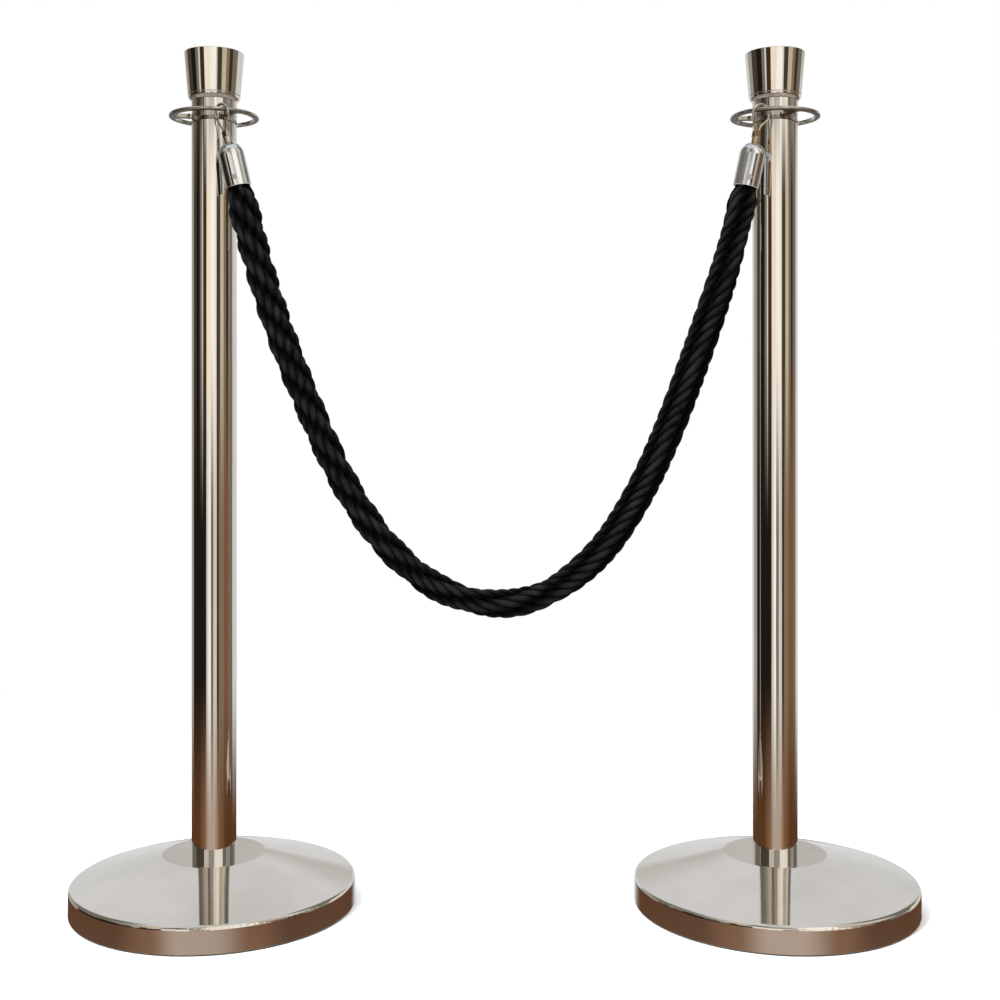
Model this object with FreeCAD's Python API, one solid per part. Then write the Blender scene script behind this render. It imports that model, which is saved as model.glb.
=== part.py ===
"""Rope barrier set: two free-standing polished posts joined by one hanging rope.

Millimetres.  +X runs from the left post to the right post, +Z is up and -Y is the side where
the rope is clipped.  The origin is on the floor, midway between the two posts.
"""
import FreeCAD
import Part
import math
import os

Vector = FreeCAD.Vector

# ---- driving dimensions -------------------------------------------------------------------

POST_SPACING = 640.0
TUBE_RADIUS = 25.4
TUBE_WALL = 1.2

# base, from the floor up
PAD_RADIUS = 156.0
PAD_THICK = 2.0
PAD_HOLE_RADIUS = 16.0
PAD_EDGE_ROUND = 0.5
BASE_RADIUS = 160.0
BASE_LIP_Z = 1.0
BASE_LIP_ROUND = 0.4
BASE_RIM_Z = 29.5
BASE_RIM_ROUND = 4.5
BASE_DISC_RADIUS = 58.0
BASE_TOP_Z = 58.5
DISC_EDGE_ROUND = 3.0
COVER_WALL = 1.2
WEIGHT_RADIUS = 157.0
WEIGHT_TOP_Z = 12.0
WEIGHT_EDGE_ROUND = 2.0
WEIGHT_FOOT_ROUND = 1.0
BOSS_FOOT_RADIUS = 48.0
BOSS_TOP_RADIUS = 34.0
BOSS_FOOT_ROUND = 6.0
BOLT_RADIUS = 6.0
BOLT_HOLE_RADIUS = 6.5
BOLT_HEAD_ACROSS_FLATS = 19.0
BOLT_HEAD_Z = 4.5
BOLT_HEAD_HEIGHT = 7.5
BOLT_LENGTH = 65.0
THREAD_CHAMFER = 1.0
BASE_WASHER_RADIUS = 12.0
BASE_WASHER_THICK = 2.0
COUNTERBORE_RADIUS = 14.0
PLUG_HEIGHT = 20.0

# head, from the ring up
RING_BOTTOM_Z = 894.5
RING_THICK = 4.0
RING_OUTER_RADIUS = 50.75
RING_BAR_WIDTH = 6.2
RING_BAR_ROUND = 1.9
RING_WINDOW_INNER_RADIUS = 28.0
RING_SPOKES = 3
RING_SPOKE_WIDTH = 8.0
RING_WINDOW_ROUND = 5.5
RING_TURN = 11.4
NECK_TOP_Z = 914.0
NECK_WALL = 1.2
CROWN_SEAM_Z = 920.8
CROWN_TOP_Z = 969.0
CROWN_FOOT_RADIUS = 29.6
CROWN_TOP_RADIUS = 33.6
CROWN_WALL = 1.3
CROWN_SPIGOT_HEIGHT = 12.0
CROWN_SPIGOT_ROUND = 1.0
CROWN_SEAT_ROUND = 5.5
CROWN_SEAM_GAP = 0.3
CROWN_SEAM_STEP = 0.2
CROWN_FOOT_ROUND = 0.4
CROWN_RIM_ROUND = 0.6
CAP_THICK = 1.5
CAP_RECESS = 1.2
STUD_RADIUS = 5.0
STUD_HOLE_RADIUS = 5.25
STUD_LENGTH = 68.0
STUD_PROUD = 2.0
NUT_ACROSS_FLATS = 17.0
NUT_HEIGHT = 8.0
STUD_WASHER_RADIUS = 10.0
STUD_WASHER_THICK = 1.6

# rope: ROUTE lists the x, z points of its centre line, and y runs evenly from end to end
ROPE_RADIUS = 16.0
ROPE_CORE_RADIUS = 12.7
ROPE_TAIL = 24.0
ROPE_END_Y = (-43.5, -41.2)
ROUTE = [
    (-284, 810), (-269, 745), (-239, 648), (-201, 553), (-166, 476), (-117, 404), (-47, 351),
    (38, 344), (112, 393), (159, 463), (194, 539), (231, 641), (265, 744), (279, 810),
]
ARC_SHARE = 0.45

# ferrule on each end of the rope; heights are measured from its mouth along its axis
FERRULE_RADIUS = 14.3
FERRULE_WALL = 1.5
FERRULE_FLAT_H = 49.3
FERRULE_HOLE_RADIUS = 2.55
SCREW_H = 9.0
SCREW_RADIUS = 1.5
SCREW_DEPTH = 7.0
SCREW_HEAD_RADIUS = 2.8
SCREW_HEAD_HEIGHT = 1.1

# snap hook: a swivelling shank and collar, a bent round bar and a sprung gate
SHANK_RADIUS = 2.5
SHANK_HEAD_RADIUS = 3.6
SHANK_FOOT_H = 44.6
SHANK_FOOT_ROUND = 0.6
SWIVEL_WASHER_H = 46.0
SWIVEL_WASHER_RADIUS = 5.0
SWIVEL_WASHER_THICK = 1.1
COLLAR_RADIUS = 4.4
COLLAR_H = 49.6
COLLAR_TOP_H = 57.0
COLLAR_FOOT_ROUND = 0.5
COLLAR_TOP_ROUND = 1.2
HOOK_BAR_RADIUS = 1.5
LOOP_H = 82.8
LOOP_RADIUS = 10.75
LOOP_JOIN_ANGLE = 50.0
LOOP_TIP_ANGLE = 200.0
SPINE_V = 1.3
BLOCK_TOP_H = 64.0
BLOCK_V = (-4.4, 2.7)
BLOCK_HALF_THICK = 2.7
BLOCK_SINK = 1.5
BLOCK_TOP_ROUND = 2.2
SLOT_HALF_THICK = 1.35
SLOT_V = -0.7
SLOT_FLOOR_RISE = 0.6
PIVOT_V = -2.4
PIVOT_H = 61.0
PIN_RADIUS = 0.7
PIN_PLAY = 0.05
GATE_BAR_RADIUS = 1.1
GATE_EYE_RADIUS = 1.8
GATE_EYE_THICK = 1.0
GATE_GAP = 0.45
GATE_SIDE_PLAY = 0.15
SPRING_COIL_RADIUS = 1.2
SPRING_WIRE_RADIUS = 0.2
SPRING_PITCH = 0.5
SPRING_HEIGHT = 1.0
SPRING_SIDE_PLAY = 0.08

# direction in which the spine of each hook faces, in degrees about +Z from +X
HOOK_TURN = {"left": -40.6, "right": 26.0}
SIDES = {"left": -1, "right": 1}

OUT = "parts"


# ---- helpers ------------------------------------------------------------------------------

def save(shape, node):
    """Write one node, after making sure that every solid in it is sound."""
    for solid in shape.Solids:
        if not solid.isValid() or solid.Volume <= 0:
            raise ValueError("bad solid in " + node)
    shape.exportStep(os.path.join(OUT, node + ".step"))


def rounded_wire(points):
    """Closed wire through (x, z, round) corners in the XZ plane, each corner rounded off."""
    count = len(points)
    corners = [Vector(x, 0, z) for x, z, _ in points]
    ends = []
    edges = []
    for i in range(count):
        corner = corners[i]
        to_last = (corners[i - 1] - corner).normalize()
        to_next = (corners[(i + 1) % count] - corner).normalize()
        radius = points[i][2]
        if radius <= 0:
            ends.append((corner, corner))
            continue
        half = to_last.getAngle(to_next) / 2
        cut = radius / math.tan(half)
        middle_way = (to_last + to_next).normalize()
        start = corner + to_last * cut
        end = corner + to_next * cut
        middle = corner + middle_way * (radius / math.sin(half) - radius)
        edges.append(Part.Arc(start, middle, end).toShape())
        ends.append((start, end))
    for i in range(count):
        start = ends[i][1]
        end = ends[(i + 1) % count][0]
        if start.distanceToPoint(end) > 1e-6:
            edges.append(Part.LineSegment(start, end).toShape())
    return Part.Wire(Part.__sortEdges__(edges))


def turned(points):
    """Solid of revolution about +Z of a closed profile of (radius, z, round) corners."""
    face = Part.Face(rounded_wire(points))
    solid = face.revolve(Vector(0, 0, 0), Vector(0, 0, 1), 360)
    return as_solid(solid)


def as_solid(shape):
    if shape.ShapeType == "Solid":
        solid = shape
    else:
        solid = shape.Solids[0] if shape.Solids else Part.makeSolid(shape)
    if solid.Volume < 0:
        solid.reverse()
    return solid


def tube(outer, inner, low, high):
    """Plain round tube or washer between two heights."""
    body = Part.makeCylinder(outer, high - low, Vector(0, 0, low))
    return body.cut(Part.makeCylinder(inner, high - low, Vector(0, 0, low)))


def hexagon(across_flats, low, height):
    """Hexagonal prism about +Z with its top corners turned down."""
    corner_radius = across_flats / math.sqrt(3)
    corners = []
    for i in range(7):
        angle = math.radians(60 * i)
        corners.append(Vector(corner_radius * math.cos(angle), corner_radius * math.sin(angle), low))
    prism = Part.Face(Part.makePolygon(corners)).extrude(Vector(0, 0, height))
    chamfer = corner_radius - across_flats / 2
    trim = turned([
        (0, low, 0), (corner_radius - chamfer, low, 0), (corner_radius, low + chamfer, 0),
        (corner_radius, low + height - chamfer, 0), (corner_radius - chamfer, low + height, 0),
        (0, low + height, 0),
    ])
    return prism.common(trim)


def polar(radius, angle, z):
    """Point at a radius and an angle in degrees about +Z."""
    turn = math.radians(angle)
    return Vector(radius * math.cos(turn), radius * math.sin(turn), z)


# ---- one post, made about its own axis ----------------------------------------------------

def floor_pad():
    return turned([
        (PAD_HOLE_RADIUS, 0, 0), (PAD_RADIUS, 0, PAD_EDGE_ROUND), (PAD_RADIUS, PAD_THICK, 0),
        (PAD_HOLE_RADIUS, PAD_THICK, 0),
    ])


def base_weight():
    bore_floor = BOLT_HEAD_Z + BOLT_HEAD_HEIGHT + BASE_WASHER_THICK
    return turned([
        (COUNTERBORE_RADIUS, PAD_THICK, 0),
        (WEIGHT_RADIUS, PAD_THICK, WEIGHT_FOOT_ROUND),
        (WEIGHT_RADIUS, WEIGHT_TOP_Z, WEIGHT_EDGE_ROUND),
        (BOSS_FOOT_RADIUS, WEIGHT_TOP_Z, BOSS_FOOT_ROUND),
        (BOSS_TOP_RADIUS, BASE_TOP_Z - COVER_WALL, WEIGHT_EDGE_ROUND),
        (BOLT_HOLE_RADIUS, BASE_TOP_Z - COVER_WALL, 0),
        (BOLT_HOLE_RADIUS, bore_floor, 0),
        (COUNTERBORE_RADIUS, bore_floor, 0),
    ])


def base_cover():
    """Spun cover: an upright rim, a rounded edge, a shallow cone and a flat disc on top."""
    wall = COVER_WALL
    slope = math.atan2(BASE_TOP_Z - BASE_RIM_Z, BASE_RADIUS - BASE_DISC_RADIUS)
    rim_drop = wall * math.tan(math.pi / 4 - slope / 2)
    disc_shift = wall * math.tan(slope / 2)
    return turned([
        (BASE_RADIUS, BASE_LIP_Z, BASE_LIP_ROUND),
        (BASE_RADIUS, BASE_RIM_Z, BASE_RIM_ROUND),
        (BASE_DISC_RADIUS, BASE_TOP_Z, DISC_EDGE_ROUND + wall),
        (BOLT_HOLE_RADIUS, BASE_TOP_Z, 0),
        (BOLT_HOLE_RADIUS, BASE_TOP_Z - wall, 0),
        (BASE_DISC_RADIUS - disc_shift, BASE_TOP_Z - wall, DISC_EDGE_ROUND),
        (BASE_RADIUS - wall, BASE_RIM_Z - rim_drop, BASE_RIM_ROUND - wall),
        (BASE_RADIUS - wall, BASE_LIP_Z, BASE_LIP_ROUND),
    ])


def base_bolt():
    head = hexagon(BOLT_HEAD_ACROSS_FLATS, BOLT_HEAD_Z, BOLT_HEAD_HEIGHT)
    low = BOLT_HEAD_Z + BOLT_HEAD_HEIGHT
    tip = low + BOLT_LENGTH
    shank = turned([
        (0, BOLT_HEAD_Z + BOLT_HEAD_HEIGHT / 2, 0),
        (BOLT_RADIUS, BOLT_HEAD_Z + BOLT_HEAD_HEIGHT / 2, 0),
        (BOLT_RADIUS, tip - THREAD_CHAMFER, 0),
        (BOLT_RADIUS - THREAD_CHAMFER, tip, 0),
        (0, tip, 0),
    ])
    return head.fuse(shank).removeSplitter()


def base_washer():
    low = BOLT_HEAD_Z + BOLT_HEAD_HEIGHT
    return tube(BASE_WASHER_RADIUS, BOLT_HOLE_RADIUS, low, low + BASE_WASHER_THICK)


def post_tube():
    return tube(TUBE_RADIUS, TUBE_RADIUS - TUBE_WALL, BASE_TOP_Z, RING_BOTTOM_Z)


def tube_plug(low, hole_radius):
    """Threaded steel disc welded into an end of the tube."""
    return tube(TUBE_RADIUS - TUBE_WALL, hole_radius, low, low + PLUG_HEIGHT)


def rope_ring():
    """Flat ring on three spokes round a hub as wide as the tube."""
    low = RING_BOTTOM_Z
    high = low + RING_THICK
    body = tube(RING_OUTER_RADIUS, STUD_HOLE_RADIUS, low, high)
    hub_gap = tube(RING_WINDOW_INNER_RADIUS, TUBE_RADIUS, low, high)
    spoke_length = (RING_WINDOW_INNER_RADIUS + RING_OUTER_RADIUS) / 2
    for i in range(RING_SPOKES):
        angle = 180 + 360 * i / RING_SPOKES
        body = body.cut(ring_window(angle, RING_OUTER_RADIUS - RING_BAR_WIDTH, low))
        spoke = Part.makeBox(spoke_length, RING_SPOKE_WIDTH, RING_THICK,
                             Vector(0, -RING_SPOKE_WIDTH / 2, low))
        spoke.rotate(Vector(0, 0, 0), Vector(0, 0, 1), angle)
        hub_gap = hub_gap.cut(spoke)
    body = body.cut(hub_gap).removeSplitter()
    rim_edges = []
    for edge in body.Edges:
        middle = edge.valueAt((edge.FirstParameter + edge.LastParameter) / 2)
        level = edge.BoundBox.ZLength < RING_THICK / 2
        if level and math.hypot(middle.x, middle.y) > RING_OUTER_RADIUS - RING_BAR_WIDTH / 2:
            rim_edges.append(edge)
    return body.makeFillet(RING_BAR_ROUND, rim_edges)


def ring_window(spoke_angle, outer, low):
    """Opening between one spoke and the next, with rounded corners."""
    half = RING_SPOKE_WIDTH / 2
    next_angle = spoke_angle + 360 / RING_SPOKES
    lift = Vector(0, 0, low)
    sides = []
    for angle, sign in ((spoke_angle, 1), (next_angle, -1)):
        along = polar(1, angle, 0)
        across = Vector(-along.y, along.x, 0) * (half * sign)
        near = along * math.sqrt(RING_WINDOW_INNER_RADIUS ** 2 - half ** 2) + across
        far = along * math.sqrt(outer ** 2 - half ** 2) + across
        sides.append((near + lift, far + lift))
    (first_near, first_far), (next_near, next_far) = sides
    middle_angle = (spoke_angle + next_angle) / 2
    near_arc = Part.Arc(first_near, polar(RING_WINDOW_INNER_RADIUS, middle_angle, low), next_near)
    far_arc = Part.Arc(next_far, polar(outer, middle_angle, low), first_far)
    edges = [
        near_arc.toShape(),
        Part.LineSegment(next_near, next_far).toShape(),
        far_arc.toShape(),
        Part.LineSegment(first_far, first_near).toShape(),
    ]
    window = Part.Face(Part.Wire(edges)).extrude(Vector(0, 0, RING_THICK))
    upright = [e for e in window.Edges if e.BoundBox.ZLength > RING_THICK / 2]
    return window.makeFillet(RING_WINDOW_ROUND, upright)


def neck_sleeve():
    return tube(TUBE_RADIUS, TUBE_RADIUS - NECK_WALL, RING_BOTTOM_Z + RING_THICK, NECK_TOP_Z)


def crown_seat():
    """Turned foot of the crown: a bowl that bulges out from the neck, and a spigot above it."""
    spigot = CROWN_FOOT_RADIUS - CROWN_WALL
    seam = CROWN_SEAM_Z - CROWN_SEAM_GAP
    top = CROWN_SEAM_Z + CROWN_SPIGOT_HEIGHT
    return turned([
        (STUD_RADIUS, NECK_TOP_Z, 0),
        (CROWN_FOOT_RADIUS - 2 * CROWN_SEAM_STEP, NECK_TOP_Z, CROWN_SEAT_ROUND),
        (CROWN_FOOT_RADIUS - CROWN_SEAM_STEP, seam, CROWN_SEAM_STEP),
        (spigot, seam, 0),
        (spigot, top, CROWN_SPIGOT_ROUND),
        (STUD_RADIUS, top, 0),
    ])


def crown_shell():
    """Hollow cone of the crown, widening upwards, with a softened top rim."""
    return turned([
        (CROWN_FOOT_RADIUS - CROWN_WALL, CROWN_SEAM_Z, 0),
        (CROWN_FOOT_RADIUS, CROWN_SEAM_Z, CROWN_FOOT_ROUND),
        (CROWN_TOP_RADIUS, CROWN_TOP_Z, CROWN_RIM_ROUND),
        (CROWN_TOP_RADIUS - CROWN_WALL, CROWN_TOP_Z, CROWN_FOOT_ROUND),
    ])


def crown_cap():
    high = CROWN_TOP_Z - CAP_RECESS
    low = high - CAP_THICK
    widening = (CROWN_TOP_RADIUS - CROWN_FOOT_RADIUS) / (CROWN_TOP_Z - CROWN_SEAM_Z)
    inner = CROWN_TOP_RADIUS - CROWN_WALL
    return turned([
        (0, low, 0), (inner - widening * (CAP_RECESS + CAP_THICK), low, 0),
        (inner - widening * CAP_RECESS, high, 0), (0, high, 0),
    ])


def head_stud():
    top = CROWN_SEAM_Z + CROWN_SPIGOT_HEIGHT + STUD_WASHER_THICK + NUT_HEIGHT + STUD_PROUD
    low = top - STUD_LENGTH
    tip_radius = STUD_RADIUS - THREAD_CHAMFER
    return turned([
        (0, low, 0), (tip_radius, low, 0), (STUD_RADIUS, low + THREAD_CHAMFER, 0),
        (STUD_RADIUS, top - THREAD_CHAMFER, 0), (tip_radius, top, 0), (0, top, 0),
    ])


def stud_washer():
    low = CROWN_SEAM_Z + CROWN_SPIGOT_HEIGHT
    return tube(STUD_WASHER_RADIUS, STUD_HOLE_RADIUS, low, low + STUD_WASHER_THICK)


def stud_nut():
    low = CROWN_SEAM_Z + CROWN_SPIGOT_HEIGHT + STUD_WASHER_THICK
    nut = hexagon(NUT_ACROSS_FLATS, low, NUT_HEIGHT)
    return nut.cut(Part.makeCylinder(STUD_RADIUS, NUT_HEIGHT, Vector(0, 0, low)))


def make_posts():
    pieces = {
        "floor_pad": floor_pad(),
        "base_weight": base_weight(),
        "base_cover": base_cover(),
        "base_bolt": base_bolt(),
        "base_washer": base_washer(),
        "post_tube": post_tube(),
        "foot_plug": tube_plug(BASE_TOP_Z, BOLT_RADIUS),
        "top_plug": tube_plug(RING_BOTTOM_Z - PLUG_HEIGHT, STUD_RADIUS),
        "rope_ring": rope_ring(),
        "neck_sleeve": neck_sleeve(),
        "crown_seat": crown_seat(),
        "crown_shell": crown_shell(),
        "crown_cap": crown_cap(),
        "head_stud": head_stud(),
        "stud_washer": stud_washer(),
        "stud_nut": stud_nut(),
    }
    for side, sign in SIDES.items():
        for name, shape in pieces.items():
            placed = shape.copy()
            if name == "rope_ring":
                placed.rotate(Vector(0, 0, 0), Vector(0, 0, 1), -sign * RING_TURN)
            placed.translate(Vector(sign * POST_SPACING / 2, 0, 0))
            save(placed, side + "_" + name)


# ---- the rope -----------------------------------------------------------------------------

def route_points():
    first = ROUTE[0][0]
    span = ROUTE[-1][0] - first
    slant = (ROPE_END_Y[1] - ROPE_END_Y[0]) / span
    return [Vector(x, ROPE_END_Y[0] + (x - first) * slant, z) for x, z in ROUTE]


def rope_path(points):
    """Straight runs joined by tangent arcs, each arc as large as its runs allow."""
    edges = []
    radii = []
    last = points[0]
    for i in range(1, len(points) - 1):
        back = points[i - 1] - points[i]
        ahead = points[i + 1] - points[i]
        turn = math.pi - back.getAngle(ahead)
        cut = ARC_SHARE * min(back.Length, ahead.Length)
        radius = cut / math.tan(turn / 2)
        back.normalize()
        ahead.normalize()
        start = points[i] + back * cut
        end = points[i] + ahead * cut
        sagitta = radius / math.cos(turn / 2) - radius
        middle = points[i] + (back + ahead).normalize() * sagitta
        edges.append(Part.LineSegment(last, start).toShape())
        edges.append(Part.Arc(start, middle, end).toShape())
        radii.append(radius)
        last = end
    edges.append(Part.LineSegment(last, points[-1]).toShape())
    return Part.Wire(edges), radii


def end_axis(side):
    """Mouth of a ferrule, and the direction from the rope's end towards the hook."""
    points = route_points()
    if side == "right":
        points.reverse()
    return points[0], (points[0] - points[1]).normalize()


def make_rope():
    points = route_points()
    path, radii = rope_path(points)
    start_way = points[1] - points[0]
    section = Part.Wire(Part.makeCircle(ROPE_RADIUS, points[0], start_way))
    body = as_solid(path.makePipeShell([section], True, False))
    length = path.Length
    print("rope length", round(length, 1))
    print("rope arc radii", [round(radius) for radius in radii])
    print("volume over section times length",
          round(body.Volume / (math.pi * ROPE_RADIUS ** 2 * length), 5))
    for side in SIDES:
        mouth, way = end_axis(side)
        body = body.fuse(Part.makeCylinder(ROPE_CORE_RADIUS, ROPE_TAIL, mouth, way))
    for side in SIDES:
        screw_hole = Part.makeCylinder(SCREW_RADIUS, SCREW_DEPTH, Vector(0, -FERRULE_RADIUS, SCREW_H),
                                       Vector(0, 1, 0))
        body = body.cut(in_place(screw_hole, side, ferrule_facing(side)))
    save(as_solid(body), "rope")


# ---- the ends of the rope -----------------------------------------------------------------

def in_place(shape, side, facing):
    """Move a shape from the ferrule's own frame, with +Z along its axis and its foot at the
    mouth, to its place.  Its +X comes as near to the direction facing as the axis allows."""
    mouth, way = end_axis(side)
    level = facing - way * facing.dot(way)
    rotation = FreeCAD.Rotation(level, way.cross(level), way, "ZXY")
    placed = shape.copy()
    placed.Placement = FreeCAD.Placement(mouth, rotation).multiply(placed.Placement)
    return placed


def ferrule_facing(side):
    """The direction that puts the ferrule's screw on its -Y side."""
    return Vector(0, 1, 0).cross(end_axis(side)[1])


def ferrule():
    """Bullet-shaped cup: a straight skirt and a round dome with a small flat on top."""
    inner = FERRULE_RADIUS - FERRULE_WALL
    dome_h = FERRULE_FLAT_H - math.sqrt(FERRULE_RADIUS ** 2 - COLLAR_RADIUS ** 2)
    outer_body = Part.makeCylinder(FERRULE_RADIUS, dome_h)
    outer_body = outer_body.fuse(Part.makeSphere(FERRULE_RADIUS, Vector(0, 0, dome_h)))
    above = Part.makeCylinder(FERRULE_RADIUS, FERRULE_RADIUS, Vector(0, 0, FERRULE_FLAT_H))
    inner_body = Part.makeCylinder(inner, dome_h)
    inner_body = inner_body.fuse(Part.makeSphere(inner, Vector(0, 0, dome_h)))
    hole = Part.makeCylinder(FERRULE_HOLE_RADIUS, FERRULE_FLAT_H)
    below = Part.makeCylinder(FERRULE_RADIUS, FERRULE_RADIUS, Vector(0, 0, -FERRULE_RADIUS))
    cup = outer_body.cut(above).cut(inner_body).cut(hole).cut(below)
    screw_hole = Part.makeCylinder(SCREW_RADIUS, FERRULE_RADIUS, Vector(0, 0, SCREW_H),
                                   Vector(0, -1, 0))
    return as_solid(cup.cut(screw_hole).removeSplitter())


def ferrule_screw():
    """Pan-head screw that holds the rope's end in the ferrule."""
    start = -FERRULE_RADIUS - SCREW_HEAD_HEIGHT
    shank = Part.makeCylinder(SCREW_RADIUS, SCREW_DEPTH + SCREW_HEAD_HEIGHT,
                              Vector(0, start, SCREW_H), Vector(0, 1, 0))
    head = Part.makeCylinder(SCREW_HEAD_RADIUS, 2 * SCREW_HEAD_HEIGHT, Vector(0, start, SCREW_H),
                             Vector(0, 1, 0))
    wall = Part.makeCylinder(FERRULE_RADIUS, 2 * SCREW_H)
    return as_solid(head.cut(wall).fuse(shank).removeSplitter())


def loop_point(angle):
    turn = math.radians(angle)
    return Vector(LOOP_RADIUS * math.cos(turn), 0, LOOP_H + LOOP_RADIUS * math.sin(turn))


def hook():
    """Shank, collar and forked block, with a round bar bent up into an open loop."""
    shank = turned([
        (0, SHANK_FOOT_H, 0),
        (SHANK_HEAD_RADIUS, SHANK_FOOT_H, SHANK_FOOT_ROUND),
        (SHANK_HEAD_RADIUS, SWIVEL_WASHER_H, 0),
        (SHANK_RADIUS, SWIVEL_WASHER_H, 0),
        (SHANK_RADIUS, COLLAR_H, 0),
        (COLLAR_RADIUS, COLLAR_H, COLLAR_FOOT_ROUND),
        (COLLAR_RADIUS, COLLAR_TOP_H, COLLAR_TOP_ROUND),
        (0, COLLAR_TOP_H, 0),
    ])
    block_low = COLLAR_TOP_H - BLOCK_SINK
    block_width = BLOCK_V[1] - BLOCK_V[0]
    block = Part.makeBox(block_width, 2 * BLOCK_HALF_THICK, BLOCK_TOP_H - block_low,
                         Vector(BLOCK_V[0], -BLOCK_HALF_THICK, block_low))
    top_edges = [e for e in block.Edges if e.BoundBox.ZMin > COLLAR_TOP_H]
    across = [e for e in top_edges if e.BoundBox.YLength > BLOCK_HALF_THICK]
    block = block.makeFillet(BLOCK_TOP_ROUND, across)
    slot = Part.makeBox(block_width, 2 * SLOT_HALF_THICK, BLOCK_TOP_H,
                        Vector(SLOT_V - block_width, -SLOT_HALF_THICK, COLLAR_TOP_H + SLOT_FLOOR_RISE))
    theta = math.radians(LOOP_JOIN_ANGLE)
    sweep_radius = (LOOP_RADIUS * math.cos(theta) - SPINE_V) / (1 - math.cos(theta))
    join = loop_point(-LOOP_JOIN_ANGLE)
    rise_h = join.z - sweep_radius * math.sin(theta)
    centre_v = SPINE_V + sweep_radius
    half = math.radians(180 - LOOP_JOIN_ANGLE / 2)
    bend_middle = Vector(centre_v + sweep_radius * math.cos(half), 0,
                         rise_h + sweep_radius * math.sin(half))
    start = Vector(SPINE_V, 0, COLLAR_TOP_H)
    rise = Vector(SPINE_V, 0, rise_h)
    path = Part.Wire([
        Part.LineSegment(start, rise).toShape(),
        Part.Arc(rise, bend_middle, join).toShape(),
        Part.Arc(join, loop_point((LOOP_TIP_ANGLE - LOOP_JOIN_ANGLE) / 2),
                 loop_point(LOOP_TIP_ANGLE)).toShape(),
    ])
    section = Part.Wire(Part.makeCircle(HOOK_BAR_RADIUS, start, Vector(0, 0, 1)))
    bar = as_solid(path.makePipeShell([section], True, False))
    pin_hole = Part.makeCylinder(PIN_RADIUS, 4 * BLOCK_HALF_THICK,
                                 Vector(PIVOT_V, -2 * BLOCK_HALF_THICK, PIVOT_H), Vector(0, 1, 0))
    body = shank.fuse(block).cut(slot).fuse(bar).cut(pin_hole)
    return as_solid(body.removeSplitter())


def gate_pin():
    return Part.makeCylinder(PIN_RADIUS, 2 * BLOCK_HALF_THICK,
                             Vector(PIVOT_V, -BLOCK_HALF_THICK, PIVOT_H), Vector(0, 1, 0))


def gate():
    """Round bar that closes the loop, on a flat eye that turns on the pin."""
    pivot = Vector(PIVOT_V, 0, PIVOT_H)
    gap_angle = math.degrees(GATE_GAP / LOOP_RADIUS)
    reach = loop_point(LOOP_TIP_ANGLE + gap_angle) - pivot
    length = reach.Length
    way = reach.normalize()
    bar = Part.makeCylinder(GATE_BAR_RADIUS, length - GATE_EYE_RADIUS, pivot + way * GATE_EYE_RADIUS, way)
    eye_y = -SLOT_HALF_THICK + GATE_SIDE_PLAY
    eye = Part.makeCylinder(GATE_EYE_RADIUS, GATE_EYE_THICK, Vector(PIVOT_V, eye_y, PIVOT_H),
                            Vector(0, 1, 0))
    arm = Part.makeBox(2 * GATE_BAR_RADIUS, GATE_EYE_THICK, 2 * GATE_EYE_RADIUS,
                       Vector(-GATE_BAR_RADIUS, eye_y, 0))
    arm.Placement = FreeCAD.Placement(pivot, FreeCAD.Rotation(Vector(0, 0, 1), way))
    hole = Part.makeCylinder(PIN_RADIUS + PIN_PLAY, 2 * BLOCK_HALF_THICK,
                             Vector(PIVOT_V, -BLOCK_HALF_THICK, PIVOT_H), Vector(0, 1, 0))
    return as_solid(bar.fuse(eye).fuse(arm).cut(hole).removeSplitter())


def gate_spring():
    """Small coil round the pin, beside the gate's eye."""
    helix = Part.makeHelix(SPRING_PITCH, SPRING_HEIGHT, SPRING_COIL_RADIUS)
    section = Part.Wire(Part.makeCircle(SPRING_WIRE_RADIUS, Vector(SPRING_COIL_RADIUS, 0, 0),
                                        Vector(0, 1, 0)))
    coil = as_solid(Part.Wire(helix).makePipeShell([section], True, True))
    coil.rotate(Vector(0, 0, 0), Vector(1, 0, 0), -90)
    coil.translate(Vector(PIVOT_V, SPRING_SIDE_PLAY, PIVOT_H))
    return coil


def swivel_washer():
    return tube(SWIVEL_WASHER_RADIUS, SHANK_RADIUS, SWIVEL_WASHER_H,
                SWIVEL_WASHER_H + SWIVEL_WASHER_THICK)


def make_ends():
    fixed = {"ferrule": ferrule(), "ferrule_screw": ferrule_screw()}
    turning = {
        "hook": hook(),
        "swivel_washer": swivel_washer(),
        "gate": gate(),
        "gate_pin": gate_pin(),
        "gate_spring": gate_spring(),
    }
    for side in SIDES:
        for name, shape in fixed.items():
            save(in_place(shape, side, ferrule_facing(side)), side + "_" + name)
        for name, shape in turning.items():
            save(in_place(shape, side, polar(1, HOOK_TURN[side], 0)), side + "_" + name)


os.makedirs(OUT, exist_ok=True)
make_posts()
make_rope()
make_ends()
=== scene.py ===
import math

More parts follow.
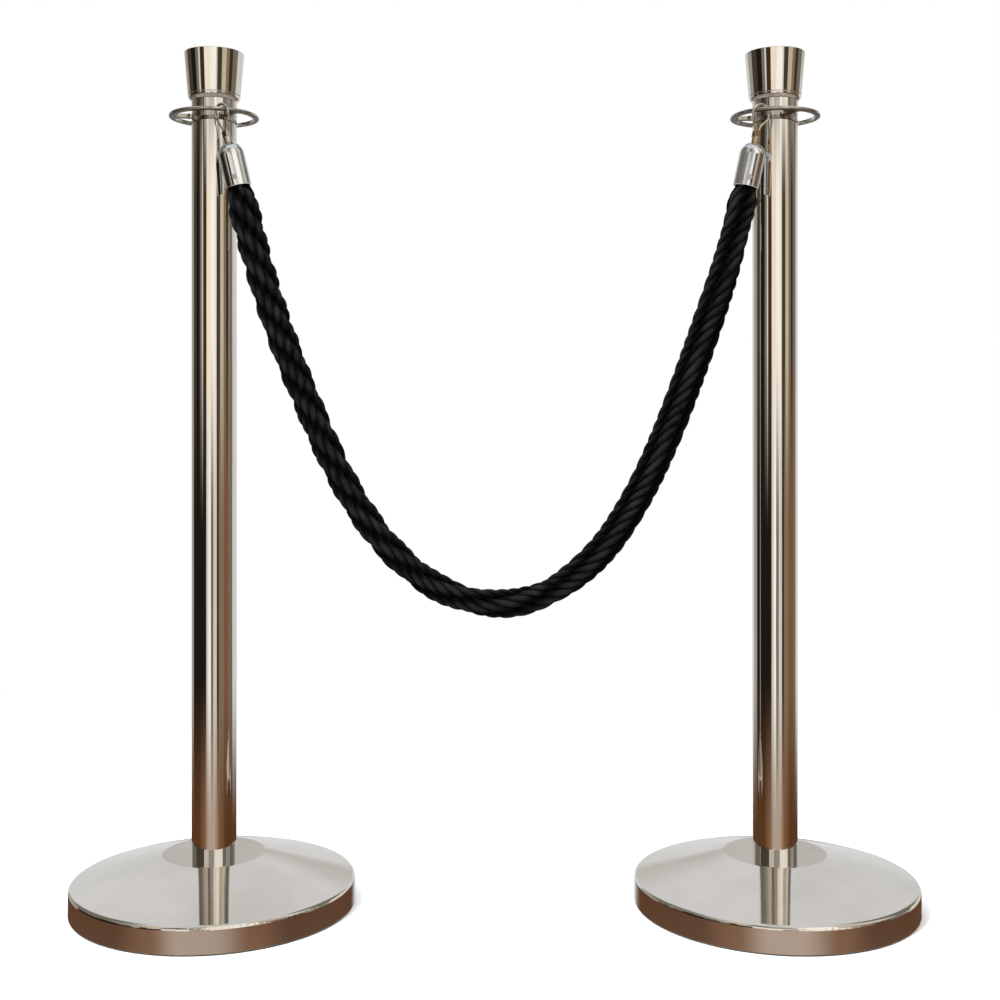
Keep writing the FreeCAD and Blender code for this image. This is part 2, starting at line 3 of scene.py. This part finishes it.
import bpy
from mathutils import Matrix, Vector


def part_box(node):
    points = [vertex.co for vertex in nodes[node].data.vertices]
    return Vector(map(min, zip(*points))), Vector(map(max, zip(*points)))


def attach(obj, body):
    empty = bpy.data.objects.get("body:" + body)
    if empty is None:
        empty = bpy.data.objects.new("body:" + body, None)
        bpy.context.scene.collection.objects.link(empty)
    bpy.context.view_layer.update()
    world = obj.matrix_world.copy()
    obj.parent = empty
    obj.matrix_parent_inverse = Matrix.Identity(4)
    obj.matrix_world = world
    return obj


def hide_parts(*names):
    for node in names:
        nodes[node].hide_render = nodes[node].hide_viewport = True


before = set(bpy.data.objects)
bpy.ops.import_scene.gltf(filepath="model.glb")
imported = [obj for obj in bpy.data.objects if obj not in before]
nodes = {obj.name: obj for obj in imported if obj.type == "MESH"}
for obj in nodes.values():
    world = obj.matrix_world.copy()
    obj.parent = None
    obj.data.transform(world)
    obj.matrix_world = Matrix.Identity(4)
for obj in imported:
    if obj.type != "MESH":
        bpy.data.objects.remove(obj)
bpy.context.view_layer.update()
SIDES = ("left", "right")

# ---- camera: level, in front of the pair, with a small shift for the framing --------------------

CAMERA_PLACE = (0.0, -1.585, 0.546)
CAMERA_LENS = 50.0
CAMERA_SHIFT = (0.0054, -0.0755)
SENSOR_WIDTH = 36.0


def place_camera():
    """A level camera that looks along +Y."""
    camera = bpy.data.objects.new("camera", bpy.data.cameras.new("camera"))
    camera.data.lens = CAMERA_LENS
    camera.data.sensor_width = SENSOR_WIDTH
    camera.data.shift_x, camera.data.shift_y = CAMERA_SHIFT
    camera.location = CAMERA_PLACE
    camera.rotation_euler = (math.radians(90), 0, 0)
    bpy.context.collection.objects.link(camera)
    bpy.context.scene.camera = camera


place_camera()

# ---- rope: four strands laid together, each of four plies twisted the other way -------------------

# x, z of the centre line's points from the left ferrule to the right one; y runs evenly between
ROPE_ROUTE = [
    (-0.284, 0.810), (-0.269, 0.745), (-0.239, 0.648), (-0.201, 0.553), (-0.166, 0.476),
    (-0.117, 0.404), (-0.047, 0.351), (0.038, 0.344), (0.112, 0.393), (0.159, 0.463),
    (0.194, 0.539), (0.231, 0.641), (0.265, 0.744), (0.279, 0.810),
]
ROPE_END_Y = (-0.0435, -0.0412)
ROPE_TAIL = 0.012  # length that goes on inside each ferrule
ROPE_STEP = 0.0016  # distance between rings of the strand meshes
ROUTE_RESOLUTION = 48

STRANDS = 4
STRAND_OFFSET = 0.0096  # from the rope's middle to a strand's
STRAND_RADIUS = 0.0080
STRAND_SIDES = 56
PLIES = 4
PLY_OFFSET = 0.0045  # from a strand's middle to a ply's
PLY_PITCH = 0.066
PLY_WANDER = 0.35  # how far, in radians, a strand's plies run ahead or behind
WANDER_LENGTH = 0.11
WANDER_SHIFT = 2.0  # radians by which each strand's wandering comes after the last one's
LAY_RADIUS = 0.0150  # where the lay angle is seen
# slant of the strands in degrees, along the rope's length
LAY_ANGLES = [(0.0, 34.0), (0.35, 27.0), (0.5, 15.0), (0.65, 1.0), (1.0, -5.0)]
FACING_PLACE = 0.8  # share of the length at which one strand lies squarely in front
# how much thicker or thinner than drawn the rope is, along its length
SWELL = [(0.0, 1.04), (0.1, 0.985), (0.25, 0.95), (0.45, 0.905), (0.62, 0.965), (0.9, 1.02), (1.0, 1.05)]
MOUTH_SHARE = 0.70  # how far the rope is squeezed where it enters a ferrule
MOUTH_REACH = 0.016  # how far from the ferrule it has its full thickness again


def between(table, at):
    """The value at a place along a short table of (place, value), eased from one row to the next."""
    for (a, low), (b, high) in zip(table, table[1:]):
        if at <= b:
            share = max(0.0, (at - a) / (b - a))
            return low + (high - low) * share * share * (3 - 2 * share)
    return table[-1][1]


def rope_line():
    """Points close together along a NURBS spline round the route, with a tail at each end."""
    curve = bpy.data.curves.new("rope_route", "CURVE")
    curve.dimensions = "3D"
    spline = curve.splines.new("NURBS")
    spline.points.add(len(ROPE_ROUTE) - 1)
    first, last = ROPE_ROUTE[0][0], ROPE_ROUTE[-1][0]
    for point, (x, z) in zip(spline.points, ROPE_ROUTE):
        share = (x - first) / (last - first)
        y = ROPE_END_Y[0] + (ROPE_END_Y[1] - ROPE_END_Y[0]) * share
        point.co = (x, y, z, 1.0)
    spline.order_u = 3
    spline.use_endpoint_u = True
    spline.resolution_u = ROUTE_RESOLUTION
    holder = bpy.data.objects.new("rope_route", curve)
    mesh = bpy.data.meshes.new_from_object(holder)
    line = [v.co.copy() for v in mesh.vertices]
    bpy.data.objects.remove(holder)
    bpy.data.meshes.remove(mesh)
    bpy.data.curves.remove(curve)
    start = line[0] - (line[1] - line[0]).normalized() * ROPE_TAIL
    end = line[-1] + (line[-1] - line[-2]).normalized() * ROPE_TAIL
    return [start, *line, end]


def evenly(line, step):
    """Points at about one distance along a line of close points, both ends kept, and its length."""
    lengths = [0.0]
    for a, b in zip(line, line[1:]):
        lengths.append(lengths[-1] + (b - a).length)
    count = round(lengths[-1] / step)
    points, i = [], 0
    for k in range(count + 1):
        at = lengths[-1] * k / count
        while i < len(line) - 2 and lengths[i + 1] < at:
            i += 1
        share = (at - lengths[i]) / (lengths[i + 1] - lengths[i])
        points.append(line[i].lerp(line[i + 1], share))
    return points, lengths[-1]


def ply_outline(angle):
    """Distance from a strand's middle to the outside of its plies, at an angle round it."""
    ply_radius = STRAND_RADIUS - PLY_OFFSET
    sector = 2 * math.pi / PLIES
    off = (angle + sector / 2) % sector - sector / 2
    return PLY_OFFSET * math.cos(off) + math.sqrt(ply_radius**2 - (PLY_OFFSET * math.sin(off)) ** 2)


def lay_twists(count, length):
    """How far the strands have turned round the rope at each of its rings."""
    twists = [0.0]
    for i in range(1, count):
        angle = math.radians(between(LAY_ANGLES, i / (count - 1)))
        twists.append(twists[-1] + length / (count - 1) * math.tan(angle) / LAY_RADIUS)
    facing = twists[round(FACING_PLACE * (count - 1))]
    return [twist - facing for twist in twists]


def rope_rings(points, length, across):
    """The rope's rings: each one's middle, direction to the side, place, twist and squeeze."""
    step = length / (len(points) - 1)
    rings = []
    for i, (point, twist) in enumerate(zip(points, lay_twists(len(points), length))):
        ahead = points[min(i + 1, len(points) - 1)] - points[max(i - 1, 0)]
        side = ahead.normalized().cross(across)
        at = i * step
        from_mouth = max(0.0, min(at, length - at) - ROPE_TAIL)
        squeeze = between([(0.0, MOUTH_SHARE), (MOUTH_REACH, 1.0)], from_mouth)
        squeeze *= between(SWELL, at / length)
        rings.append((point, side, at, twist, squeeze))
    return rings


def strand_points(rings, across, strand):
    """The points round one strand, ring by ring, and the height of each over the rope's middle."""
    vertices, heights = [], []
    for point, side, at, twist, squeeze in rings:
        turn = twist + 2 * math.pi * strand / STRANDS
        middle = (side * math.cos(turn) + across * math.sin(turn)) * STRAND_OFFSET
        wander = PLY_WANDER * math.sin(2 * math.pi * at / WANDER_LENGTH + WANDER_SHIFT * strand)
        ply_turn = strand + wander - 2 * math.pi * at / PLY_PITCH
        for k in range(STRAND_SIDES):
            angle = 2 * math.pi * k / STRAND_SIDES
            out = side * math.cos(angle + ply_turn) + across * math.sin(angle + ply_turn)
            reach = middle + out * ply_outline(angle)
            vertices.append(point + reach * squeeze)
            heights.append(reach.length / (STRAND_OFFSET + STRAND_RADIUS))
    return vertices, heights


def strand_faces(base, ring_count, length):
    """One strand's faces, and the place of each corner round the strand and along it."""
    step = length / (ring_count - 1)
    faces, uvs = [], []
    for i in range(ring_count - 1):
        a, b = base + i * STRAND_SIDES, base + (i + 1) * STRAND_SIDES
        low, high = i * step, (i + 1) * step
        for k in range(STRAND_SIDES):
            n = (k + 1) % STRAND_SIDES
            faces.append((a + k, a + n, b + n, b + k))
            u, v = k / STRAND_SIDES, (k + 1) / STRAND_SIDES
            uvs += [(u, low), (v, low), (v, high), (u, high)]
    faces.append(tuple(base + k for k in reversed(range(STRAND_SIDES))))
    uvs += [(k / STRAND_SIDES, 0.0) for k in reversed(range(STRAND_SIDES))]
    last = base + (ring_count - 1) * STRAND_SIDES
    faces.append(tuple(last + k for k in range(STRAND_SIDES)))
    uvs += [(k / STRAND_SIDES, length) for k in range(STRAND_SIDES)]
    return faces, uvs


def rope_mesh(points, length):
    """A helix of lobed strands round the centre line."""
    front = Vector((ROPE_END_Y[1] - ROPE_END_Y[0], ROPE_ROUTE[0][0] - ROPE_ROUTE[-1][0], 0))
    across = front.normalized()
    rings = rope_rings(points, length, across)
    vertices, heights, faces, uvs = [], [], [], []
    for strand in range(STRANDS):
        more_faces, more_uvs = strand_faces(len(vertices), len(rings), length)
        faces += more_faces
        uvs += more_uvs
        more_vertices, more_heights = strand_points(rings, across, strand)
        vertices += more_vertices
        heights += more_heights
    mesh = bpy.data.meshes.new("laid_rope")
    mesh.from_pydata(vertices, [], faces)
    # these heights drive the painted shade in the rope's seams
    mesh.attributes.new("height", "FLOAT", "POINT").data.foreach_set("value", heights)
    layer = mesh.uv_layers.new(name="along_ply")
    for loop, uv in zip(layer.data, uvs):
        loop.uv = uv
    mesh.polygons.foreach_set("use_smooth", [len(f) == 4 for f in faces])
    return mesh


def make_rope():
    """The laid rope as one free cord, from inside one ferrule to inside the other."""
    points, length = evenly(rope_line(), ROPE_STEP)
    rope = bpy.data.objects.new("laid_rope", rope_mesh(points, length))
    bpy.context.collection.objects.link(rope)
    rope.visible_glossy = False  # the steel doesn't mirror the black rope
    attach(rope, "rope_line")
    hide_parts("rope")
    return rope


rope = make_rope()

# ---- materials ------------------------------------------------------------------------------------


class Nodes:
    """A node tree, made and joined by short calls."""

    def __init__(self, tree):
        self.tree = tree

    def node(self, kind, inputs=(), **settings):
        """A node with its settings and its inputs, each a value or another node's output."""
        made = self.tree.nodes.new(kind)
        for key, value in settings.items():
            setattr(made, key, value)
        for key, value in dict(inputs).items():
            self.give(made.inputs[key], value)
        return made

    def give(self, socket, value):
        """Joins an output to a socket, or sets the socket's own value."""
        if isinstance(value, bpy.types.NodeSocket):
            self.tree.links.new(value, socket)
        else:
            socket.default_value = value

    def place(self, offset=(0, 0, 0), scale=(1, 1, 1)):
        """The object's own coordinates, moved and scaled."""
        where = self.node("ShaderNodeTexCoord").outputs["Object"]
        mapping = {"Vector": where, "Location": offset, "Scale": scale}
        return self.node("ShaderNodeMapping", mapping).outputs["Vector"]

    def noise(self, vector, scale, detail=3.0, roughness=0.55):
        """Noise from 0 to 1."""
        inputs = {"Vector": vector, "Scale": scale, "Detail": detail, "Roughness": roughness}
        return self.node("ShaderNodeTexNoise", inputs).outputs["Fac"]

    def ramp(self, value, stops, interpolation="LINEAR"):
        """A colour for each value, from a list of (value, colour)."""
        made = self.node("ShaderNodeValToRGB", {"Fac": value})
        made.color_ramp.interpolation = interpolation
        elements = made.color_ramp.elements
        while len(elements) < len(stops):
            elements.new(0.5)
        for element, (at, colour) in zip(elements, stops):
            element.position = at
            element.color = (*colour, 1.0)
        return made.outputs["Color"]

    def span(self, value, low, high):
        """Noise stretched over a range of numbers."""
        inputs = {"Value": value, "From Min": 0.3, "From Max": 0.7, "To Min": low, "To Max": high}
        return self.node("ShaderNodeMapRange", inputs).outputs["Result"]

    def bump(self, height, distance, strength, normal=None):
        """A bump of a height in metres."""
        inputs = {"Height": height, "Distance": distance, "Strength": strength}
        if normal is not None:
            inputs["Normal"] = normal
        return self.node("ShaderNodeBump", inputs).outputs["Normal"]


class Look(Nodes):
    """A new material, its nodes and its shader."""

    def __init__(self, name):
        self.material = bpy.data.materials.new(name)
        self.material.use_nodes = True
        super().__init__(self.material.node_tree)
        self.shader = self.tree.nodes["Principled BSDF"]

    def set(self, **inputs):
        """Inputs of the shader, with their spaces written as underlines."""
        for key, value in inputs.items():
            self.give(self.shader.inputs[key.replace("_", " ")], value)


def grey(value):
    """A neutral colour."""
    return (value, value, value)


STEEL = (0.80, 0.775, 0.745)
STEEL_DULL = (0.70, 0.675, 0.64)
THROAT = (0.50, 0.62)  # shares of a hook's height between which worn brass turns to plating
WORN_EDGE = 0.002  # how far the edge of worn plating strays up or down
# upward parts of a face's direction between which a ring turns from a rough underside darkened by painted
# shade to its bright polished top
SHADED_UNDERSIDE = (-0.9, -0.4)
# the rope's painted seam shade runs from darkest at SEAM to lightest at CREST
SEAM, CREST = 0.68, 0.98  # heights over the rope's middle of its deepest seams and its outer plies


def drawn_steel(name):
    """Polished tube: faint streaks along its length and a few wiped patches."""
    look = Look(name)
    streaks = look.noise(look.place(scale=(260, 260, 2.2)), 1.0, 4.0)
    patches = look.noise(look.place(scale=(9, 9, 3)), 1.0, 2.0)
    waves = look.noise(look.place(scale=(55, 55, 3.0)), 1.0, 2.0)
    look.set(
        Base_Color=look.ramp(streaks, [(0.3, STEEL_DULL), (0.6, STEEL)]),
        Metallic=1.0,
        Roughness=look.span(patches, 0.015, 0.04),
        Normal=look.bump(waves, 0.00015, 0.5, look.bump(streaks, 0.00002, 0.4)),
    )
    return look.material


def spun_steel(side):
    """Polished dish or cap: fine rings round its post's axis from the polishing wheel."""
    look = Look(f"{side}_spun_steel")
    low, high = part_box(f"{side}_post_tube")
    centre_x = (low[0] + high[0]) / 2
    where = look.place(offset=(-centre_x, 0, 0))
    flat = look.node("ShaderNodeVectorMath", {0: where, 1: (1, 1, 0)}, operation="MULTIPLY")
    reach = look.node("ShaderNodeVectorMath", {0: flat.outputs[0]}, operation="LENGTH")
    rings = look.node("ShaderNodeTexNoise", {"W": reach.outputs["Value"], "Scale": 900.0, "Detail": 3.0},
                      noise_dimensions="1D").outputs["Fac"]
    patches = look.noise(look.place(), 11.0, 3.0)
    look.set(
        Base_Color=look.ramp(patches, [(0.3, STEEL_DULL), (0.65, STEEL)]),
        Metallic=1.0,
        Roughness=look.span(patches, 0.035, 0.07),
        Normal=look.bump(rings, 0.00001, 0.5),
    )
    return look.material


def small_metal(name, colour, dull, smooth, rough):
    """Small plated or plain metal piece, with handling marks."""
    look = Look(name)
    marks = look.noise(look.place(), 420.0, 4.0, 0.6)
    wear = look.noise(look.place(), 90.0, 3.0)
    look.set(
        Base_Color=look.ramp(wear, [(0.32, dull), (0.62, colour)]),
        Metallic=1.0,
        Roughness=look.span(wear, smooth, rough),
        Normal=look.bump(marks, 0.0001, 0.25),
    )
    return look.material


def worn_hook(name, colour, brass, hook):
    """Plated hook whose plating has worn to brass from the loop's throat down to the shank."""
    look = Look(name)
    levels = [vertex.co.z for vertex in hook.data.vertices]
    low, tall = min(levels), max(levels) - min(levels)
    marks = look.noise(look.place(), 420.0, 4.0, 0.6)
    wear = look.noise(look.place(), 90.0, 3.0)
    level = look.node("ShaderNodeSeparateXYZ", {0: look.place()}).outputs["Z"]
    stray = look.span(wear, -WORN_EDGE, WORN_EDGE)
    edge = look.node("ShaderNodeMath", {0: level, 1: stray}, operation="ADD").outputs[0]
    throat = {"Value": edge, "From Min": low + THROAT[0] * tall, "From Max": low + THROAT[1] * tall}
    share = look.node("ShaderNodeMapRange", throat).outputs["Result"]
    look.set(
        Base_Color=look.ramp(share, [(0.0, brass), (1.0, colour)]),
        Metallic=1.0,
        Roughness=look.span(wear, 0.05, 0.12),
        Normal=look.bump(marks, 0.0001, 0.25),
    )
    return look.material


def ring_steel():
    """Ring polished on its top and sides, rougher underneath, where painted shade darkens its colour."""
    look = Look("ring_steel")
    facing = look.node("ShaderNodeTexCoord").outputs["Normal"]
    upward = look.node("ShaderNodeSeparateXYZ", {0: facing}).outputs["Z"]
    turn = {"Value": upward, "From Min": SHADED_UNDERSIDE[0], "From Max": SHADED_UNDERSIDE[1]}
    share = look.node("ShaderNodeMapRange", turn).outputs["Result"]
    marks = look.noise(look.place(), 420.0, 4.0, 0.6)
    roughness = {"Value": share, "To Min": 0.35, "To Max": 0.08}
    look.set(
        # painted shade: the base colour turns dark on faces that point down
        Base_Color=look.ramp(share, [(0.0, (0.10, 0.09, 0.075)), (1.0, (0.56, 0.54, 0.50))]),
        Metallic=1.0,
        Roughness=look.node("ShaderNodeMapRange", roughness).outputs["Result"],
        Normal=look.bump(marks, 0.0001, 0.25),
    )
    return look.material


def cast_iron():
    """Sand-cast weight, dark and grainy."""
    look = Look("cast_iron")
    grain = look.noise(look.place(), 700.0, 5.0, 0.65)
    patches = look.noise(look.place(), 30.0, 3.0)
    look.set(
        Base_Color=look.ramp(patches, [(0.3, (0.035, 0.033, 0.032)), (0.7, (0.075, 0.07, 0.066))]),
        Metallic=0.35,
        Roughness=look.span(patches, 0.55, 0.75),
        Normal=look.bump(grain, 0.0006, 0.7),
    )
    return look.material


def rubber():
    """Black floor pad with a fine moulded grain and some floor dust."""
    look = Look("rubber")
    grain = look.noise(look.place(), 1400.0, 3.0)
    dust = look.noise(look.place(), 45.0, 4.0)
    look.set(
        Base_Color=look.ramp(dust, [(0.35, grey(0.014)), (0.75, (0.04, 0.038, 0.035))]),
        Roughness=look.span(dust, 0.6, 0.85),
        Normal=look.bump(grain, 0.0002, 0.5),
    )
    return look.material


def rope_fibre():
    """Black multifilament: yarns along each ply, and painted shade that darkens its seams towards the
    middle of the rope.
    """
    look = Look("rope_fibre")
    uv = look.node("ShaderNodeUVMap", uv_map="along_ply").outputs["UV"]
    yarn_place = look.node("ShaderNodeMapping", {"Vector": uv, "Scale": (110, 38, 1)}).outputs["Vector"]
    yarns = look.noise(yarn_place, 1.0, 3.0, 0.6)
    fuzz = look.noise(look.place(), 2600.0, 2.0)
    cloud = look.noise(look.place(), 60.0, 2.0)
    # painted shade: the colour darkens from the outer plies down into the deepest seams
    height = look.node("ShaderNodeAttribute", attribute_name="height").outputs["Fac"]
    seam_shade_span = {"Value": height, "From Min": SEAM, "From Max": CREST, "To Min": 0.13, "To Max": 0.50}
    painted_seam_shade = look.node("ShaderNodeMapRange", seam_shade_span).outputs["Result"]
    tone = look.node("ShaderNodeMath", {0: yarns, 1: cloud}, operation="ADD")
    shade = look.node("ShaderNodeMath", {0: tone.outputs[0], 1: painted_seam_shade}, operation="MULTIPLY")
    look.set(
        Base_Color=look.ramp(
            shade.outputs[0],
            [(0.12, grey(0.0006)), (0.32, grey(0.0030)), (0.62, (0.0180, 0.0180, 0.0190))],
        ),
        Roughness=0.62,
        Specular_IOR_Level=0.02,
        Sheen_Weight=0.003,
        Sheen_Roughness=0.4,
        Normal=look.bump(fuzz, 0.0003, 0.35, look.bump(yarns, 0.0007, 0.8)),
    )
    return look.material


def dress(piece, material):
    """Gives a piece its material in every slot."""
    if not piece.data.materials:
        piece.data.materials.append(material)
    for slot in piece.material_slots:
        slot.material = material


def finish_pieces():
    """A material for every piece that the frame carries, and for the rope."""
    plated = small_metal("nickel_hook", (0.68, 0.66, 0.61), (0.50, 0.48, 0.44), smooth=0.05, rough=0.12)
    brassy = worn_hook("brassy_hook", (0.66, 0.65, 0.62), (0.70, 0.57, 0.38), nodes["right_hook"])
    ferrule = small_metal("ferrule_metal", (0.80, 0.83, 0.88), (0.70, 0.73, 0.77), smooth=0.08, rough=0.16)
    plain = small_metal("plain_steel", (0.56, 0.55, 0.54), (0.42, 0.41, 0.40), smooth=0.25, rough=0.40)
    tube, ring = drawn_steel("polished_tube"), ring_steel()
    iron, pad = cast_iron(), rubber()
    for side in SIDES:
        spun = spun_steel(side)
        finishes = {
            tube: ("post_tube", "neck_sleeve", "crown_seat", "crown_shell"),
            spun: ("base_cover", "crown_cap"),
            ring: ("rope_ring",),
            ferrule: ("ferrule",),
            (plated if side == "left" else brassy): ("hook", "gate"),
            plain: ("base_bolt", "base_washer", "foot_plug", "top_plug", "head_stud", "stud_washer",
                    "stud_nut", "ferrule_screw", "swivel_washer", "gate_pin", "gate_spring"),
            iron: ("base_weight",),
            pad: ("floor_pad",),
        }
        for material, names in finishes.items():
            for name in names:
                dress(nodes[f"{side}_{name}"], material)
    fibre = rope_fibre()
    dress(nodes["rope"], fibre)
    dress(rope, fibre)


finish_pieces()

# ---- studio: pale floor, soft light, and the warm room that the polished steel mirrors ------------

# the room's walls, windows and floor as plain shades of light
SHADES = {
    "window": (1.20, 1.15, 1.05), "cream": (1.10, 0.97, 0.80), "silver": (0.80, 0.76, 0.70),
    "pale": (0.75, 0.75, 0.75), "haze": (0.59, 0.57, 0.54), "stone": (0.65, 0.56, 0.43),
    "beige": (0.54, 0.42, 0.34), "grey": (0.42, 0.39, 0.35), "slate": (0.20, 0.19, 0.16),
    "khaki": (0.26, 0.20, 0.13), "brown": (0.24, 0.12, 0.06), "rust": (0.12, 0.05, 0.02),
    "olive": (0.07, 0.055, 0.035), "umber": (0.06, 0.035, 0.02), "black": (0.015, 0.012, 0.010),
}

# the room at five heights: each stretch starts at its place across a round post, from -1 to 1
CEILING = [
    (-1.0, "pale"), (-0.95, "slate"), (-0.65, "grey"), (-0.50, "stone"), (-0.30, "slate"),
    (-0.15, "grey"), (0.05, "cream"), (0.25, "window"), (0.40, "stone"), (0.60, "silver"),
    (0.75, "slate"), (0.95, "pale"),
]
HIGH_WALL = [
    (-1.0, "haze"), (-0.99, "pale"), (-0.95, "grey"), (-0.90, "slate"), (-0.70, "olive"),
    (-0.35, "silver"), (-0.15, "grey"), (0.10, "window"), (0.45, "slate"), (0.60, "grey"),
    (0.75, "slate"), (0.90, "grey"), (0.95, "pale"), (0.99, "haze"),
]
WALL = [
    (-1.0, "pale"), (-0.95, "grey"), (-0.85, "olive"), (-0.70, "black"), (-0.55, "slate"),
    (-0.45, "silver"), (-0.40, "umber"), (-0.25, "cream"), (-0.05, "window"), (0.15, "silver"),
    (0.20, "olive"), (0.35, "stone"), (0.50, "khaki"), (0.60, "umber"), (0.70, "slate"),
    (0.85, "silver"), (0.95, "pale"),
]
LOW_WALL = [
    (-1.0, "pale"), (-0.95, "grey"), (-0.85, "black"), (-0.30, "umber"), (-0.25, "silver"),
    (-0.15, "window"), (-0.05, "slate"), (0.05, "silver"), (0.20, "umber"), (0.30, "khaki"),
    (0.50, "brown"), (0.75, "slate"), (0.85, "silver"), (0.95, "pale"),
]
BOARDS = [
    (-1.0, "pale"), (-0.97, "rust"), (-0.60, "rust"), (-0.35, "brown"), (-0.12, "beige"),
    (0.08, "beige"), (0.35, "brown"), (0.60, "rust"), (0.98, "rust"), (1.0, "pale"),
]
# from underfoot to straight up: the sine of the mirrored ray's slope, what it meets, how shades join
ROOM = [
    (-0.62, [(-1.0, "grey")], "CONSTANT"),
    (-0.28, BOARDS, "EASE"),
    (-0.17, LOW_WALL, "CONSTANT"),
    (-0.08, LOW_WALL, "CONSTANT"),
    (0.08, WALL, "CONSTANT"),
    (0.15, WALL, "CONSTANT"),
    (0.26, HIGH_WALL, "CONSTANT"),
    (0.52, CEILING, "CONSTANT"),
    (0.80, CEILING, "CONSTANT"),
    (0.90, [(-1.0, "pale")], "CONSTANT"),
]


def room_stops(bands):
    """Ramp stops for bands: a place across a round post is half the turn of the ray it mirrors."""
    return [(0.5 + math.asin(place) / math.pi, SHADES[shade]) for place, shade in bands]


SOFT_LIGHT = 0.08  # the world's strength where neither the camera nor a reflection looks
MIX_BELOW, MIX_ABOVE, MIX_COLOUR = 6, 7, 2  # the colour sockets of a Mix node


def room():
    """The world: white behind the object, plain soft light on it, and the room in its mirror images."""
    world = bpy.data.worlds.new("room")
    world.use_nodes = True
    bpy.context.scene.world = world
    look = Nodes(world.node_tree)
    look.tree.nodes.clear()
    direction = look.node("ShaderNodeTexCoord").outputs["Generated"]
    split = look.node("ShaderNodeSeparateXYZ", {0: direction})
    # where the ray points, as a share of the way round: 0.5 is in front of the pair, 0 and 1 behind
    back = look.node("ShaderNodeMath", {0: split.outputs["Y"], 1: -1.0}, operation="MULTIPLY")
    turn = look.node("ShaderNodeMath", {0: split.outputs["X"], 1: back.outputs[0]}, operation="ARCTAN2")
    share = look.node("ShaderNodeMapRange", {"Value": turn.outputs[0], "From Min": -math.pi,
                                             "From Max": math.pi})
    below, bands, join = ROOM[0]
    colour = look.ramp(share.outputs["Result"], room_stops(bands), join)
    for height, bands, join in ROOM[1:]:
        level = look.ramp(share.outputs["Result"], room_stops(bands), join)
        rise = look.node("ShaderNodeMapRange", {"Value": split.outputs["Z"], "From Min": below,
                                                "From Max": height}, interpolation_type="SMOOTHSTEP")
        mix = look.node("ShaderNodeMix", data_type="RGBA")
        look.give(mix.inputs["Factor"], rise.outputs["Result"])
        look.give(mix.inputs[MIX_BELOW], colour)
        look.give(mix.inputs[MIX_ABOVE], level)
        colour = mix.outputs[MIX_COLOUR]
        below = height
    path = look.node("ShaderNodeLightPath")
    seen = look.node("ShaderNodeBackground", {"Color": (*grey(1.0), 1.0), "Strength": 1.0})
    soft = look.node("ShaderNodeBackground", {"Color": (*grey(1.0), 1.0), "Strength": SOFT_LIGHT})
    mirrored = look.node("ShaderNodeBackground", {"Color": colour, "Strength": 1.0})
    lit = look.node("ShaderNodeMixShader", {0: path.outputs["Is Glossy Ray"], 1: soft.outputs[0],
                                            2: mirrored.outputs[0]})
    shown = look.node("ShaderNodeMixShader", {0: path.outputs["Is Camera Ray"], 1: lit.outputs[0],
                                              2: seen.outputs[0]})
    look.node("ShaderNodeOutputWorld", {"Surface": shown.outputs[0]})


def area_light(name, place, aim, size, power):
    """A soft light that the polished steel doesn't mirror."""
    light = bpy.data.objects.new(name, bpy.data.lights.new(name, "AREA"))
    light.data.size = size
    light.data.energy = power
    light.location = place
    light.rotation_euler = (Vector(aim) - Vector(place)).to_track_quat("-Z", "Y").to_euler()
    light.visible_glossy = False
    bpy.context.collection.objects.link(light)


FLOOR_SIZE = 24.0
FLOOR_LEVEL = -0.0005
FLOOR_FADE = (0.5, 1.6)  # distances from the middle between which the floor fades to white


def floor():
    """A wide pale floor that fades to white, and that light and the eye meet but steel doesn't mirror."""
    bpy.ops.mesh.primitive_plane_add(size=FLOOR_SIZE, location=(0, 0, FLOOR_LEVEL))
    ground = bpy.context.object
    ground.name = "floor"
    look = Look("pale_floor")
    cloud = look.noise(look.place(), 1.5, 2.0)
    look.set(
        Base_Color=look.ramp(cloud, [(0.2, grey(0.90)), (0.8, grey(0.93))]),
        Roughness=0.9,
        Specular_IOR_Level=0.0,
    )
    reach = look.node("ShaderNodeVectorMath", {0: look.place()}, operation="LENGTH").outputs["Value"]
    ring = {"Value": reach, "From Min": FLOOR_FADE[0], "From Max": FLOOR_FADE[1]}
    fade = look.node("ShaderNodeMapRange", ring, interpolation_type="SMOOTHSTEP").outputs["Result"]
    white = look.node("ShaderNodeEmission", {"Strength": 1.0})
    mix = look.node("ShaderNodeMixShader", {0: fade, 1: look.shader.outputs[0], 2: white.outputs[0]})
    look.give(look.tree.nodes["Material Output"].inputs["Surface"], mix.outputs[0])
    ground.data.materials.append(look.material)
    ground.visible_glossy = False


room()
area_light("key", place=(-1.2, -1.6, 2.4), aim=(0, 0, 0.4), size=0.7, power=110.0)
area_light("fill", place=(1.8, -1.2, 1.8), aim=(0, 0, 0.4), size=1.0, power=12.0)
area_light("top", place=(0, 0.2, 3.0), aim=(0, 0, 0), size=3.0, power=120.0)
floor()
bpy.context.scene.view_settings.view_transform = "Standard"
